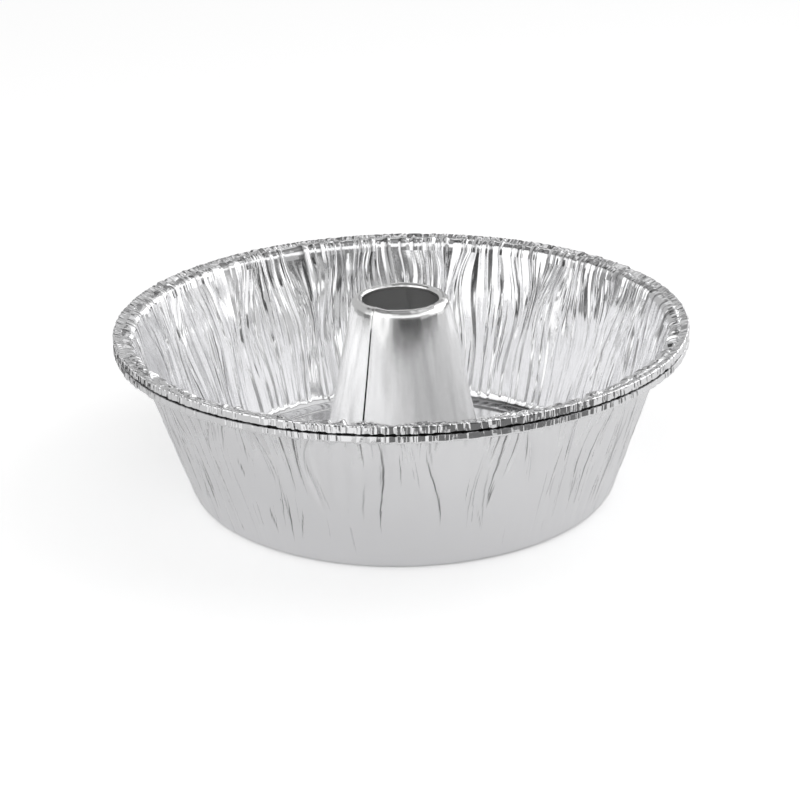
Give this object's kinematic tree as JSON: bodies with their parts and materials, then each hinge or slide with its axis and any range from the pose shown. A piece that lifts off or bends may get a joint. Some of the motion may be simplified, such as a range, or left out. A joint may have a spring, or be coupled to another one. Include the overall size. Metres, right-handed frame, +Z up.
{
  "type": "ring cake pan",
  "caption": "Round ring cake pan of wrinkled aluminium foil with a rolled rim and a hollow, open, cone-shaped centre tube with a lapped seam.",
  "frame": {"origin": "centre of the pan's round base, on the surface that the pan stands on", "axes": "+Z up along the pan's own axis; the picture looks along +Y; the tube's seam faces -Y and a little -X"},
  "size_m": [0.2534, 0.2538, 0.086],
  "materials": {
    "pan_foil": "bright pressed foil with fine wrinkles",
    "tube_sheet": "satin rolled sheet"
  },
  "bodies": {
    "root": {"foil_pan": "pan_foil", "centre_tube": "tube_sheet"}
  },
  "joints": []
}
